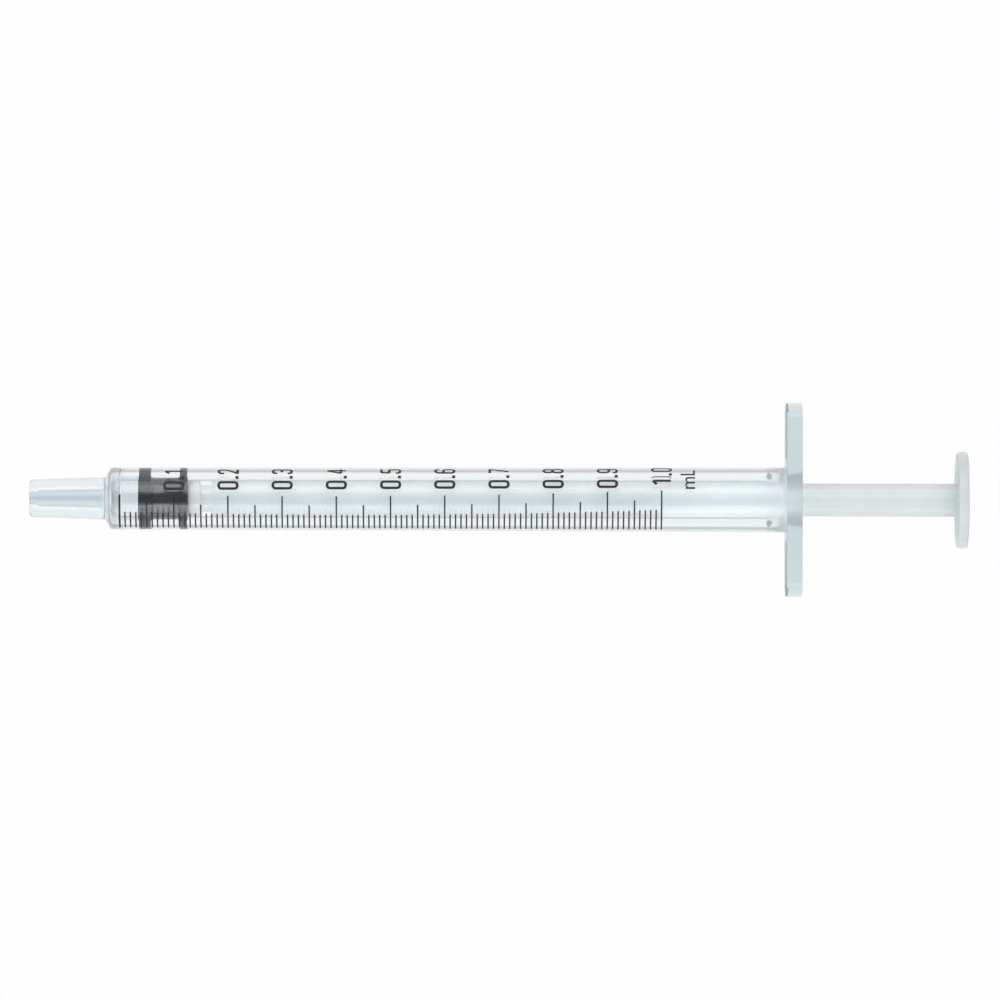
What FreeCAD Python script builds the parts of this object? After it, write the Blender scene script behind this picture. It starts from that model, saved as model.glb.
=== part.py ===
import FreeCAD, Part
import Sketcher
import math
import os

os.makedirs("parts", exist_ok=True)
doc = FreeCAD.newDocument("tuberculin_syringe")

# Every driving size, in millimetres or degrees, counted from the open end of the slip tip.
SIZES = {
    # The whole syringe, plunger pushed in to the drop that is left in the barrel.
    "overall_length": 98.92,
    # Slip tip: a six percent cone with a stepped fluid bore.
    "tip_end_radius": 1.982,
    "tip_half_taper": 0.03,
    "tip_rounding": 0.5,
    "tip_orifice_radius": 0.69,
    "tip_orifice_length": 0.94,
    "tip_bore_small_radius": 0.88,
    "tip_bore_large_radius": 1.01,
    "tip_bore_end": 7.72,
    "well_start": 8.10,
    "well_radius": 1.2,
    "well_end": 8.84,
    "well_mouth_radius": 1.5,
    # Shoulder and tube, with the outside drafted towards the flange.
    "shoulder_start": 8.0,
    "shoulder_end": 8.64,
    "shoulder_corner": 0.15,
    "tube_front_radius": 3.25,
    "tube_rear_radius": 3.4,
    # Chamber: 57 mm of scale for one millilitre.
    "chamber_floor": 9.45,
    "chamber_radius": 2.363,
    "chamber_corner": 0.2,
    "ridge_front": 77.7,
    "ridge_flank": 0.35,
    "ridge_crest": 0.4,
    "ridge_height": 0.1,
    "mouth_start": 79.1,
    "mouth_radius": 2.85,
    "mouth_rounding": 0.25,
    # Finger flange: a disc cut by two flats.
    "flange_front": 79.73,
    "flange_thickness": 1.64,
    "flange_span": 20.4,
    "flange_depth": 9.6,
    "flange_corner": 1.4,
    "flange_front_edge": 0.42,
    "flange_root": 0.5,
    "flange_core_radius": 3.1,
    # Rubber gasket, with its running clearance in the chamber.
    "gasket_front": 11.5,
    "gasket_length": 5.21,
    "gasket_clearance": 0.03,
    "front_rib_width": 1.43,
    "rear_rib_width": 0.95,
    "rib_edge": 0.1,
    "waist_depth": 0.12,
    "cavity_front": 12.8,
    "cavity_nose_radius": 0.9,
    "cavity_nose_length": 0.6,
    "cavity_radius": 1.56,
    "cavity_rear": 14.9,
    # Plunger: head inside the gasket, neck, support collar, ribbed rod and thumb disc.
    "head_clearance": 0.05,
    "neck_radius": 1.01,
    "collar_gap": 0.06,
    "collar_radius": 1.96,
    "collar_thickness": 1.27,
    "collar_edge": 0.12,
    "notch_length": 1.2,
    "notch_radius": 1.5,
    "rod_rib_reach": 1.98,
    "rod_rib_thickness": 1.07,
    "rod_rib_edge": 0.12,
    "rod_root_round": 0.45,
    "rod_rib_turn": 45,
    "disc_radius": 5.1,
    "disc_thickness": 1.25,
    "disc_rounding": 0.45,
    # Printed scale: angles run round the barrel from the top, towards the reader's right hand.
    "scale_start": 9.58,
    "scale_pitch": 0.57,
    "scale_steps": 100,
    "line_width": 0.16,
    "zero_line_width": 0.26,
    "ink_thickness": 0.03,
    "ink_facets": 25,
    "lines_end_angle": 158,
    "short_line_angle": 43,
    "medium_line_angle": 55.6,
    "long_line_angle": 73.8,
    "zero_line_angle": 75.7,
}

sheet = doc.addObject("Spreadsheet::Sheet", "sizes")
for row, (name, value) in enumerate(SIZES.items(), start=1):
    sheet.set("A%d" % row, str(value))
    sheet.setAlias("A%d" % row, name)


class Size:
    """A length that knows its number and the sheet formula that drives it."""

    def __init__(self, value, text):
        self.value = value
        self.text = text

    def __add__(self, other):
        return Size(self.value + other.value, "(%s + %s)" % (self.text, other.text))

    def __sub__(self, other):
        return Size(self.value - other.value, "(%s - %s)" % (self.text, other.text))

    def __mul__(self, other):
        return Size(self.value * other.value, "(%s * %s)" % (self.text, other.text))

    def __truediv__(self, other):
        return Size(self.value / other.value, "(%s / %s)" % (self.text, other.text))

    def times(self, factor):
        return Size(self.value * factor, "(%s * %s)" % (self.text, factor))


def size(name):
    return Size(SIZES[name], "sizes." + name)


ZERO = Size(0.0, "0")


def bind(thing, prop, length):
    thing.setExpression(prop, length.text)


def new_body(label):
    """A body whose origin lies at the middle of the syringe's length."""
    body = doc.addObject("PartDesign::Body", label)
    body.Label = label
    body.AllowCompound = True
    bind(body, ".Placement.Base.x", size("overall_length").times(-0.5))
    return body


def body_plane(body, role):
    for feature in body.Origin.OriginFeatures:
        if feature.Role == role:
            return feature
    raise ValueError(role)


def new_sketch(body, name, role):
    sketch = body.newObject("Sketcher::SketchObject", name)
    sketch.AttachmentSupport = [(body_plane(body, role), "")]
    sketch.MapMode = "FlatFace"
    return sketch


def hold_corner(sketch, index, direction, axis, length):
    """Keeps the start of one edge at a size from the origin, or on the axis where the size is nothing."""
    if length is ZERO:
        sketch.addConstraint(Sketcher.Constraint("PointOnObject", index, 1, axis))
        return
    row = sketch.addConstraint(Sketcher.Constraint(direction, -1, 1, index, 1, length.value))
    bind(sketch, "Constraints[%d]" % row, length)


def close_profile(sketch, corners):
    """A closed outline of straight edges, each corner held by two sizes from the origin."""
    count = len(corners)
    for index in range(count):
        here = corners[index]
        there = corners[(index + 1) % count]
        start = FreeCAD.Vector(here[0].value, here[1].value, 0)
        end = FreeCAD.Vector(there[0].value, there[1].value, 0)
        sketch.addGeometry(Part.LineSegment(start, end), False)
    for index in range(count):
        sketch.addConstraint(Sketcher.Constraint("Coincident", index, 2, (index + 1) % count, 1))
    for index in range(count):
        hold_corner(sketch, index, "DistanceX", -2, corners[index][0])
        hold_corner(sketch, index, "DistanceY", -1, corners[index][1])


def rounded(start, corner, end, steps=3):
    """Points of a curve from start to end that bends round the corner between them."""
    points = []
    for step in range(steps + 1):
        part = step / steps
        weights = [(1 - part) ** 2, 2 * part * (1 - part), part ** 2]
        place = []
        for axis in range(2):
            if start[axis] is ZERO and corner[axis] is ZERO and step == 0:
                place.append(ZERO)
                continue
            total = start[axis].times(weights[0]) + corner[axis].times(weights[1]) + end[axis].times(weights[2])
            place.append(total)
        points.append(tuple(place))
    return points


def revolve(body, name, sketch):
    feature = body.newObject("PartDesign::Revolution", name)
    feature.Profile = sketch
    feature.ReferenceAxis = (sketch, ["H_Axis"])
    feature.Angle = 360
    doc.recompute()
    return feature


def edges_where(feature, test):
    """Names of the edges whose middle point and bounding box pass the test."""
    found = []
    for index, edge in enumerate(feature.Shape.Edges):
        middle = edge.valueAt((edge.FirstParameter + edge.LastParameter) / 2)
        if test(edge, middle):
            found.append("Edge%d" % (index + 1))
    if not found:
        raise ValueError("no edge found on " + feature.Name)
    return found


def round_edges(body, name, base, test, radius):
    feature = body.newObject("PartDesign::Fillet", name)
    feature.Base = (base, edges_where(base, test))
    bind(feature, "Radius", radius)
    doc.recompute()
    return feature


def near(a, b, slack=0.01):
    return abs(a - b) < slack


doc.recompute()

# Barrel: the turned section from the tip to the mouth.
barrel = new_body("barrel")
flange_rear = size("flange_front") + size("flange_thickness")
tip_root_radius = size("tip_end_radius") + size("tip_half_taper") * size("shoulder_start")
tip_round_radius = size("tip_end_radius") + size("tip_half_taper") * size("tip_rounding")
tube_slope = (size("tube_rear_radius") - size("tube_front_radius")) / (size("flange_front") - size("shoulder_end"))
shoulder_rise = size("tube_front_radius") - tip_root_radius
shoulder_length = size("shoulder_end") - size("shoulder_start")
shoulder_slope = shoulder_length / shoulder_rise
root_radius = size("tube_rear_radius") + size("flange_root")
mouth_slope = (size("mouth_radius") - size("chamber_radius")) / (flange_rear - size("mouth_start"))
ridge_rear = size("ridge_front") + size("ridge_flank").times(2) + size("ridge_crest")
ridge_radius = size("chamber_radius") - size("ridge_height")
tip_nose = rounded(
    (ZERO, size("tip_end_radius") - size("tip_rounding")),
    (ZERO, size("tip_end_radius")),
    (size("tip_rounding"), tip_round_radius))
shoulder_bend = rounded(
    (size("shoulder_end") - shoulder_slope * size("shoulder_corner"),
     size("tube_front_radius") - size("shoulder_corner")),
    (size("shoulder_end"), size("tube_front_radius")),
    (size("shoulder_end") + size("shoulder_corner"),
     size("tube_front_radius") + tube_slope * size("shoulder_corner")))
flange_root = rounded(
    (size("flange_front") - size("flange_root"), size("tube_rear_radius") - tube_slope * size("flange_root")),
    (size("flange_front"), size("tube_rear_radius")),
    (size("flange_front"), root_radius))
mouth_edge = rounded(
    (flange_rear, size("mouth_radius") + size("mouth_rounding")),
    (flange_rear, size("mouth_radius")),
    (flange_rear - size("mouth_rounding"), size("mouth_radius") - mouth_slope * size("mouth_rounding")), 2)
floor_edge = rounded(
    (size("chamber_floor") + size("chamber_corner"), size("chamber_radius")),
    (size("chamber_floor"), size("chamber_radius")),
    (size("chamber_floor"), size("chamber_radius") - size("chamber_corner")), 2)
section = new_sketch(barrel, "barrel_section", "XY_Plane")
close_profile(section, [
    (ZERO, size("tip_orifice_radius")),
    *tip_nose,
    (size("shoulder_start"), tip_root_radius),
    *shoulder_bend,
    *flange_root,
    (flange_rear, root_radius),
    *mouth_edge,
    (size("mouth_start"), size("chamber_radius")),
    (ridge_rear, size("chamber_radius")),
    (size("ridge_front") + size("ridge_flank") + size("ridge_crest"), ridge_radius),
    (size("ridge_front") + size("ridge_flank"), ridge_radius),
    (size("ridge_front"), size("chamber_radius")),
    *floor_edge,
    (size("chamber_floor"), size("well_mouth_radius")),
    (size("well_end"), size("well_radius")),
    (size("well_start"), size("well_radius")),
    (size("tip_bore_end"), size("tip_bore_large_radius")),
    (size("tip_orifice_length"), size("tip_bore_small_radius")),
    (size("tip_orifice_length"), size("tip_orifice_radius")),
])

# Finger flange: round outline cut by two flats, open round the tube's bore.
outline = new_sketch(barrel, "flange_outline", "YZ_Plane")
bind(outline, ".AttachmentOffset.Base.z", size("flange_front"))
half_span = size("flange_span").times(0.5)
half_depth = size("flange_depth").times(0.5)
flat_end = math.sqrt(half_span.value ** 2 - half_depth.value ** 2)
end_angle = math.atan2(half_depth.value, flat_end)
flange_circle = Part.Circle(FreeCAD.Vector(0, 0, 0), FreeCAD.Vector(0, 0, 1), half_span.value)
outline.addGeometry(Part.ArcOfCircle(flange_circle, -end_angle, end_angle), False)
outline.addGeometry(Part.LineSegment(FreeCAD.Vector(flat_end, half_depth.value, 0),
                                     FreeCAD.Vector(-flat_end, half_depth.value, 0)), False)
outline.addGeometry(Part.ArcOfCircle(flange_circle, math.pi - end_angle, math.pi + end_angle), False)
outline.addGeometry(Part.LineSegment(FreeCAD.Vector(-flat_end, -half_depth.value, 0),
                                     FreeCAD.Vector(flat_end, -half_depth.value, 0)), False)
core_circle = Part.Circle(FreeCAD.Vector(0, 0, 0), FreeCAD.Vector(0, 0, 1), SIZES["flange_core_radius"])
outline.addGeometry(core_circle, False)
outline.addConstraint(Sketcher.Constraint("Coincident", 0, 3, -1, 1))
outline.addConstraint(Sketcher.Constraint("Coincident", 2, 3, -1, 1))
outline.addConstraint(Sketcher.Constraint("Coincident", 4, 3, -1, 1))
outline.addConstraint(Sketcher.Constraint("Coincident", 0, 2, 1, 1))
outline.addConstraint(Sketcher.Constraint("Coincident", 1, 2, 2, 1))
outline.addConstraint(Sketcher.Constraint("Coincident", 2, 2, 3, 1))
outline.addConstraint(Sketcher.Constraint("Coincident", 3, 2, 0, 1))
outline.addConstraint(Sketcher.Constraint("Horizontal", 1))
outline.addConstraint(Sketcher.Constraint("Horizontal", 3))
outline.addConstraint(Sketcher.Constraint("Equal", 0, 2))
arc_row = outline.addConstraint(Sketcher.Constraint("Radius", 0, half_span.value))
bind(outline, "Constraints[%d]" % arc_row, half_span)
top_row = outline.addConstraint(Sketcher.Constraint("DistanceY", -1, 1, 1, 1, half_depth.value))
bind(outline, "Constraints[%d]" % top_row, half_depth)
low_row = outline.addConstraint(Sketcher.Constraint("DistanceY", 3, 1, -1, 1, half_depth.value))
bind(outline, "Constraints[%d]" % low_row, half_depth)
core_row = outline.addConstraint(Sketcher.Constraint("Radius", 4, SIZES["flange_core_radius"]))
bind(outline, "Constraints[%d]" % core_row, size("flange_core_radius"))
flange = barrel.newObject("PartDesign::Pad", "flange_plate")
flange.Profile = outline
bind(flange, "Length", size("flange_thickness"))
doc.recompute()


def is_flange_corner(edge, middle):
    """True for the four short edges where the flats meet the round ends."""
    box = edge.BoundBox
    at_corner = near(abs(middle.y), flat_end) and near(abs(middle.z), half_depth.value)
    return near(box.XLength, SIZES["flange_thickness"]) and at_corner


def on_flange_rim(edge, middle, along):
    """True for the outer outline of the flange on one of its faces."""
    box = edge.BoundBox
    reach = math.hypot(middle.y, middle.z)
    return box.XLength < 0.01 and near(middle.x, along) and reach > root_radius.value + 0.1


corners = round_edges(barrel, "flange_corners", flange, is_flange_corner, size("flange_corner"))
front_rim = round_edges(barrel, "flange_front_rim", corners,
                        lambda edge, middle: on_flange_rim(edge, middle, SIZES["flange_front"]),
                        size("flange_front_edge"))

# The plate is finished by itself, and the tube is turned onto it.
revolve(barrel, "barrel_tube", section)

# Gasket: two sealing ribs, a waist between them and an undercut cavity for the plunger's head.
gasket = new_body("gasket")
gasket_rear = size("gasket_front") + size("gasket_length")
rib_radius = size("chamber_radius") - size("gasket_clearance")
waist_radius = rib_radius - size("waist_depth")
front_rib_rear = size("gasket_front") + size("front_rib_width")
rear_rib_front = gasket_rear - size("rear_rib_width")
hole_radius = size("neck_radius") + size("head_clearance")
gasket_section = new_sketch(gasket, "gasket_section", "XY_Plane")
close_profile(gasket_section, [
    (size("gasket_front"), ZERO),
    (size("gasket_front"), rib_radius - size("rib_edge")),
    (size("gasket_front") + size("rib_edge"), rib_radius),
    (front_rib_rear - size("rib_edge"), rib_radius),
    (front_rib_rear, waist_radius),
    (rear_rib_front, waist_radius),
    (rear_rib_front + size("rib_edge"), rib_radius),
    (gasket_rear - size("rib_edge"), rib_radius),
    (gasket_rear, rib_radius - size("rib_edge")),
    (gasket_rear, hole_radius),
    (size("cavity_rear"), hole_radius),
    (size("cavity_rear"), size("cavity_radius")),
    (size("cavity_front") + size("cavity_nose_length"), size("cavity_radius")),
    (size("cavity_front"), size("cavity_nose_radius")),
    (size("cavity_front"), ZERO),
])
revolve(gasket, "gasket_moulding", gasket_section)

# Plunger: head, neck and support collar turned in one.
plunger = new_body("plunger")
head_front = size("cavity_front") + size("head_clearance")
head_rear = size("cavity_rear") - size("head_clearance")
head_radius = size("cavity_radius") - size("head_clearance")
collar_front = gasket_rear + size("collar_gap")
collar_rear = collar_front + size("collar_thickness")
disc_front = size("overall_length") - size("disc_thickness")
head_section = new_sketch(plunger, "head_section", "XY_Plane")
close_profile(head_section, [
    (head_front, ZERO),
    (head_front, size("cavity_nose_radius") - size("head_clearance")),
    (head_front + size("cavity_nose_length"), head_radius),
    (head_rear, head_radius),
    (head_rear, size("neck_radius")),
    (collar_front, size("neck_radius")),
    (collar_front, size("collar_radius") - size("collar_edge")),
    (collar_front + size("collar_edge"), size("collar_radius")),
    (collar_rear - size("collar_edge"), size("collar_radius")),
    (collar_rear, size("collar_radius") - size("collar_edge")),
    (collar_rear, ZERO),
])
revolve(plunger, "plunger_head", head_section)

# Four-ribbed rod from the collar to the thumb disc.
reach = size("rod_rib_reach")
half_rib = size("rod_rib_thickness").times(0.5)
rod_sketch = new_sketch(plunger, "rod_cross", "YZ_Plane")
bind(rod_sketch, ".AttachmentOffset.Base.z", collar_rear)
rod_sketch.AttachmentOffset = FreeCAD.Placement(FreeCAD.Vector(0, 0, collar_rear.value),
                                                FreeCAD.Rotation(FreeCAD.Vector(0, 0, 1), 45))
bind(rod_sketch, ".AttachmentOffset.Rotation.Angle", size("rod_rib_turn"))
low_reach = reach.times(-1)
low_rib = half_rib.times(-1)
close_profile(rod_sketch, [
    (reach, low_rib),
    (reach, half_rib),
    (half_rib, half_rib),
    (half_rib, reach),
    (low_rib, reach),
    (low_rib, half_rib),
    (low_reach, half_rib),
    (low_reach, low_rib),
    (low_rib, low_rib),
    (low_rib, low_reach),
    (half_rib, low_reach),
    (half_rib, low_rib),
])
rod_length = disc_front - collar_rear
rod = plunger.newObject("PartDesign::Pad", "rod_ribs")
rod.Profile = rod_sketch
bind(rod, "Length", rod_length)
doc.recompute()
rib_middle = (reach.value + half_rib.value) / 2


def is_rib_edge(edge, middle):
    """True for the eight long outer edges of the ribs."""
    return edge.BoundBox.XLength > rod_length.value / 2 and math.hypot(middle.y, middle.z) > rib_middle


def is_rib_root(edge, middle):
    """True for the four long inner edges where two ribs meet."""
    return edge.BoundBox.XLength > rod_length.value / 2 and math.hypot(middle.y, middle.z) < rib_middle


rib_roots = round_edges(plunger, "rib_roots_round", rod, is_rib_root, size("rod_root_round"))
rib_edges = round_edges(plunger, "rib_edges_round", rib_roots, is_rib_edge, size("rod_rib_edge"))

# The ribs are turned down to a short waist behind the collar.
notch_sketch = new_sketch(plunger, "notch_section", "XY_Plane")
notch_top = size("rod_rib_reach") + size("rod_rib_thickness")
close_profile(notch_sketch, [
    (collar_rear, size("notch_radius")),
    (collar_rear, notch_top),
    (collar_rear + size("notch_length"), notch_top),
    (collar_rear + size("notch_length"), size("notch_radius")),
])
notch = plunger.newObject("PartDesign::Groove", "rod_notch")
notch.Profile = notch_sketch
notch.ReferenceAxis = (notch_sketch, ["H_Axis"])
notch.Angle = 360
doc.recompute()

# Thumb disc, with its rim rounded on both faces.
disc_rear = size("overall_length")
rim_front = rounded(
    (disc_front, size("disc_radius") - size("disc_rounding")),
    (disc_front, size("disc_radius")),
    (disc_front + size("disc_rounding"), size("disc_radius")))
rim_rear = rounded(
    (disc_rear - size("disc_rounding"), size("disc_radius")),
    (disc_rear, size("disc_radius")),
    (disc_rear, size("disc_radius") - size("disc_rounding")))
disc_section = new_sketch(plunger, "disc_section", "XY_Plane")
close_profile(disc_section, [(disc_front, ZERO), *rim_front, *rim_rear, (disc_rear, ZERO)])
revolve(plunger, "thumb_disc", disc_section)

# Ink: a thin skin on the drafted tube, kept only where the scale's lines are.
# The skin goes round the tube in flat facets, whose middles touch the tube.
skin_front = size("scale_start") - size("scale_pitch")
skin_length = size("scale_pitch") * (size("scale_steps") + Size(2.0, "2"))
skin_radius = size("tube_front_radius") + tube_slope * (skin_front - size("shoulder_end"))
facet_turn = 360 / SIZES["ink_facets"]
corner_stretch = 1 / math.cos(math.radians(facet_turn / 2))


def skin_block(name, middle_radius):
    """A faceted block that widens with the tube's draft, as long as the scale."""
    block = new_body(name)
    facets = new_sketch(block, name + "_facets", "YZ_Plane")
    bind(facets, ".AttachmentOffset.Base.z", skin_front)
    corners = []
    for index in range(int(SIZES["ink_facets"])):
        turn = math.radians(SIZES["lines_end_angle"] - facet_turn * index)
        corners.append((middle_radius.times(corner_stretch * math.cos(turn)),
                        middle_radius.times(corner_stretch * math.sin(turn))))
    close_profile(facets, corners)
    pad = block.newObject("PartDesign::Pad", name + "_pad")
    pad.Profile = facets
    bind(pad, "Length", skin_length)
    pad.setExpression("TaperAngle", "atan(%s)" % tube_slope.text)
    doc.recompute()
    return block


ink_skin = doc.addObject("Part::Cut", "ink_skin")
ink_skin.Base = skin_block("ink_outside", skin_radius + size("ink_thickness"))
ink_skin.Tool = skin_block("ink_inside", skin_radius)


def line_comb(name, span, width, count):
    """A row of thin sectors along the tube, one for each line of one length."""
    comb = new_body(name)
    comb_section = new_sketch(comb, name + "_section", "XY_Plane")
    comb_section.AttachmentOffset = FreeCAD.Placement(FreeCAD.Vector(0, 0, 0),
                                                      FreeCAD.Rotation(FreeCAD.Vector(1, 0, 0), 90))
    bind(comb_section, ".AttachmentOffset.Rotation.Angle", size("lines_end_angle") - span)
    half_width = width.times(0.5)
    close_profile(comb_section, [
        (size("scale_start") - half_width, size("chamber_radius")),
        (size("scale_start") + half_width, size("chamber_radius")),
        (size("scale_start") + half_width, size("disc_radius")),
        (size("scale_start") - half_width, size("disc_radius")),
    ])
    sector = comb.newObject("PartDesign::Revolution", name + "_sector")
    sector.Profile = comb_section
    sector.ReferenceAxis = (comb_section, ["H_Axis"])
    bind(sector, "Angle", span)
    doc.recompute()
    if count > 1:
        row = comb.newObject("PartDesign::LinearPattern", name + "_row")
        row.Originals = [sector]
        row.Direction = (comb_section, ["H_Axis"])
        bind(row, "Length", size("scale_pitch") * size("scale_steps"))
        row.Occurrences = count
        comb.Tip = row
        doc.recompute()
    return comb


fine_count = int(SIZES["scale_steps"]) + 1
combs = [
    line_comb("short_lines", size("short_line_angle"), size("line_width"), fine_count),
    line_comb("medium_lines", size("medium_line_angle"), size("line_width"), fine_count // 5 + 1),
    line_comb("long_lines", size("long_line_angle"), size("line_width"), fine_count // 10 + 1),
    line_comb("zero_line", size("zero_line_angle"), size("zero_line_width"), 1),
]
comb_union = doc.addObject("Part::MultiFuse", "all_lines")
comb_union.Shapes = combs
comb_union.Refine = True
graduations = doc.addObject("Part::MultiCommon", "scale_graduations")
graduations.Label = "scale_graduations"
graduations.Shapes = [ink_skin, comb_union]
doc.recompute()

for item in doc.Objects:
    if "Invalid" in item.State or "Error" in item.State:
        raise RuntimeError("not built: " + item.Name)

for item in [barrel, gasket, plunger, graduations]:
    shape = item.Shape
    if shape.isNull() or not shape.isValid():
        raise RuntimeError("bad shape: " + item.Label)
    shape.exportStep(os.path.join("parts", item.Label + ".step"))
    box = shape.BoundBox
    print(item.Label, "solids", len(shape.Solids), "volume", round(shape.Volume, 3),
          [round(v, 3) for v in (box.XMin, box.XMax, box.YMin, box.YMax, box.ZMin, box.ZMax)])
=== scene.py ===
import math
import bpy
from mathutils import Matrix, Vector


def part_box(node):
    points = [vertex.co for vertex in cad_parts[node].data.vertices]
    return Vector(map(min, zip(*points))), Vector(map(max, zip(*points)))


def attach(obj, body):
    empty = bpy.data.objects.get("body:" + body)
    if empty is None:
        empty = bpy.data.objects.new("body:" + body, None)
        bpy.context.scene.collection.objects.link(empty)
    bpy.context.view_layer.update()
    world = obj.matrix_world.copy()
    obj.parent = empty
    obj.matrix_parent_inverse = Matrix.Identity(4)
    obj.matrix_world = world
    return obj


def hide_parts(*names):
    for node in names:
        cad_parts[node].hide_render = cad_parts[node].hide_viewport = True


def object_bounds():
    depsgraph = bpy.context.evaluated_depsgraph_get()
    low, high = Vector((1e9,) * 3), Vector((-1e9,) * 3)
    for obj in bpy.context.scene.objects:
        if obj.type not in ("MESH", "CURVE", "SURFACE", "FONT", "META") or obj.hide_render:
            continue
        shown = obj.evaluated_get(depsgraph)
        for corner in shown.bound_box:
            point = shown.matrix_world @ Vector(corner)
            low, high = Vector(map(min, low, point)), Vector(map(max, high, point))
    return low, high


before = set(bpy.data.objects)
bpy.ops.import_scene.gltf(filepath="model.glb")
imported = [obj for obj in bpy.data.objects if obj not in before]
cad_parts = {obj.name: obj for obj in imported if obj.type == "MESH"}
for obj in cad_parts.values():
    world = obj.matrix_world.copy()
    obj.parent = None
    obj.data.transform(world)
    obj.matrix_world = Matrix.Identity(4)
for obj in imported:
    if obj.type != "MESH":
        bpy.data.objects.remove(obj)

bpy.ops.object.select_all(action="DESELECT")
cad_low, cad_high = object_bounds()
MM = 0.001
MERGE_GAP = 0.00001 * MM

# Sizes of the syringe, measured from the open end of the tip, which lies at the frame's lowest X.
TIP_END = cad_low[0]
DISC_END = cad_high[0] - TIP_END
TIP_CONE = 0.03
TIP_RADIUS = 1.982 * MM
TIP_NOSE = 0.5 * MM
SHOULDER_FRONT = 8.0 * MM
SHOULDER_REAR = 8.64 * MM
TUBE_FRONT_RADIUS = 3.25 * MM
TUBE_REAR_RADIUS = 3.4 * MM
CHAMBER_RADIUS = 2.363 * MM
FLANGE_FRONT = 79.73 * MM
FLANGE_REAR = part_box("barrel")[1][0] - TIP_END
FLANGE_HALF_SPAN = 10.2 * MM
FLANGE_HALF_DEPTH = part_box("barrel")[1][2]
TUBE_DRAFT = (TUBE_REAR_RADIUS - TUBE_FRONT_RADIUS) / (FLANGE_FRONT - SHOULDER_REAR)
TURN_STEPS = 144
END_RING = 0.2 * MM
PLASTIC_IOR = 1.49

# Printed scale. Its starts are angles in degrees from the top of the tube towards its far side.
SCALE_ZERO = 9.58 * MM
TENTH_PITCH = 5.7 * MM
INK_THICKNESS = 0.03 * MM
INK_SINK = 0.006 * MM
LINE_WIDTH = 0.16 * MM
ZERO_LINE_WIDTH = 0.2 * MM
FIGURE_HEIGHT = 2.25 * MM
FIGURE_WIDTH = 1.03 * MM
PEN_WIDTH = 0.29 * MM
PEN_BEND = 0.36 * MM
FIGURE_GAP = 0.28 * MM
POINT_WIDTH = 0.12 * MM
FIGURE_START = 15.0
FIGURE_DRIFT = 0.65
LAST_FIGURE_START = 27.0
UNIT_TOP = 68.47 * MM
UNIT_HEIGHT = 1.63 * MM
UNIT_START = 19.6

# Where the scale's lines end, in the same degrees. All have their foot at one angle. The top of
# each kind has its angle at zero, its drift over the whole scale, and the bow of that drift.
LINES_FOOT = -68.0
SHORT_LINE_TOP = (-25.8, -24.4, 31.7)
MEDIUM_LINE_TOP = (-9.5, -16.0, 26.0)
LONG_LINE_TOP = (7.6, -17.0, 26.0)

# Gasket: its ribs are pressed flat against the bore.
GASKET_FRONT = 11.5 * MM
GASKET_LENGTH = 5.21 * MM
RIB_RADIUS = CHAMBER_RADIUS + 0.004 * MM

# Camera: straight above the barrel, a little rolled.
CAMERA_DISTANCE = 1.107
CAMERA_SIDE = 0.13 * MM
CAMERA_RISE = -0.076 * MM
CAMERA_ROLL = math.radians(0.13)
CAMERA_LENS = 378.0

# Room: the syringe lies on its shoulder and its flange, between two side lamps.
FLOOR_DROP = 0.05 * MM
FLOOR_SIZE = 3.0
LAMP_REACH = 0.5
LAMP_NEAR_ANGLE = math.radians(24)
LAMP_FAR_ANGLE = math.radians(66)
LAMP_LENGTH = 0.9
NEAR_LAMP_RADIANCE = 1.7
FAR_LAMP_RADIANCE = 1.4
SKY_TINT = (0.95, 0.98, 1.0)
SKY_STRENGTH = 0.35
SKY_SEEN = 0.2
WALLS_SEEN = 0.75
ROOM_END_SHARE = 0.35
FLOOR_SEEN = 0.97
FLOOR_SEEN_THROUGH = 0.15


# Modelling by hand.

def select_only(thing):
    """Selects one object and nothing else."""
    bpy.ops.object.select_all(action="DESELECT")
    thing.select_set(True)
    bpy.context.view_layer.objects.active = thing


def edit(thing, mode="VERT"):
    """Opens an object's mesh for editing by its points, edges or faces."""
    select_only(thing)
    bpy.ops.object.mode_set(mode="EDIT")
    bpy.ops.mesh.select_mode(type=mode)


def apply_place():
    """Puts the selected object's place, turn and size into its mesh."""
    bpy.ops.object.transform_apply(location=True, rotation=True, scale=True)


def settle():
    """Leaves edit mode and puts the object's place into its mesh."""
    bpy.ops.object.mode_set(mode="OBJECT")
    apply_place()


def rounded(start, corner, end, steps=6):
    """Points of a curve from start to end that bends round the corner between them."""
    points = []
    for step in range(steps + 1):
        part = step / steps
        weights = ((1 - part) ** 2, 2 * part * (1 - part), part ** 2)
        points.append(tuple(weights[0] * a + weights[1] * b + weights[2] * c
                            for a, b, c in zip(start, corner, end)))
    return points


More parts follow.
